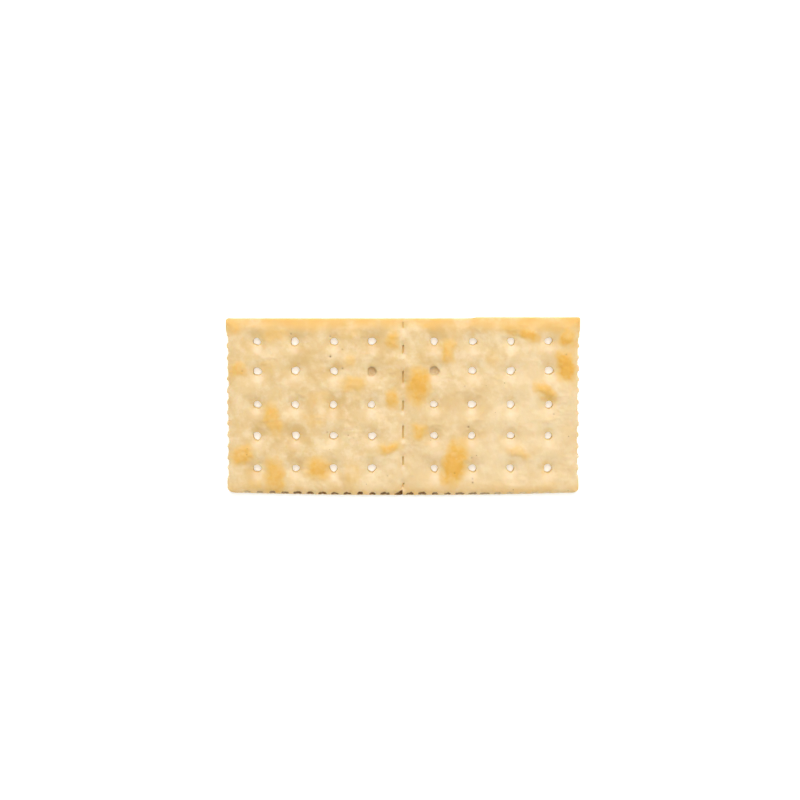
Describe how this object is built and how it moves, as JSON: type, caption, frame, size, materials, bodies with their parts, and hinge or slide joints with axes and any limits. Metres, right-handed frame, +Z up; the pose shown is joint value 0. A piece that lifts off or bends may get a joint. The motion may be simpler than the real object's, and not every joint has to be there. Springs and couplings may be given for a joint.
{
  "type": "soda cracker",
  "caption": "Double soda cracker, two square halves on a scored line, with docking holes, pillowed faces and perforated torn edges, lying flat.",
  "frame": {"origin": "centre of the underside, the bottom centre of the bounding box", "axes": "+X along the long side, +Y towards the smooth long edge, +Z up out of the docked face"},
  "size_m": [0.1, 0.051, 0.0046],
  "materials": {
    "baked_dough": null
  },
  "bodies": {
    "root": {"cracker": "baked_dough"}
  },
  "joints": []
}
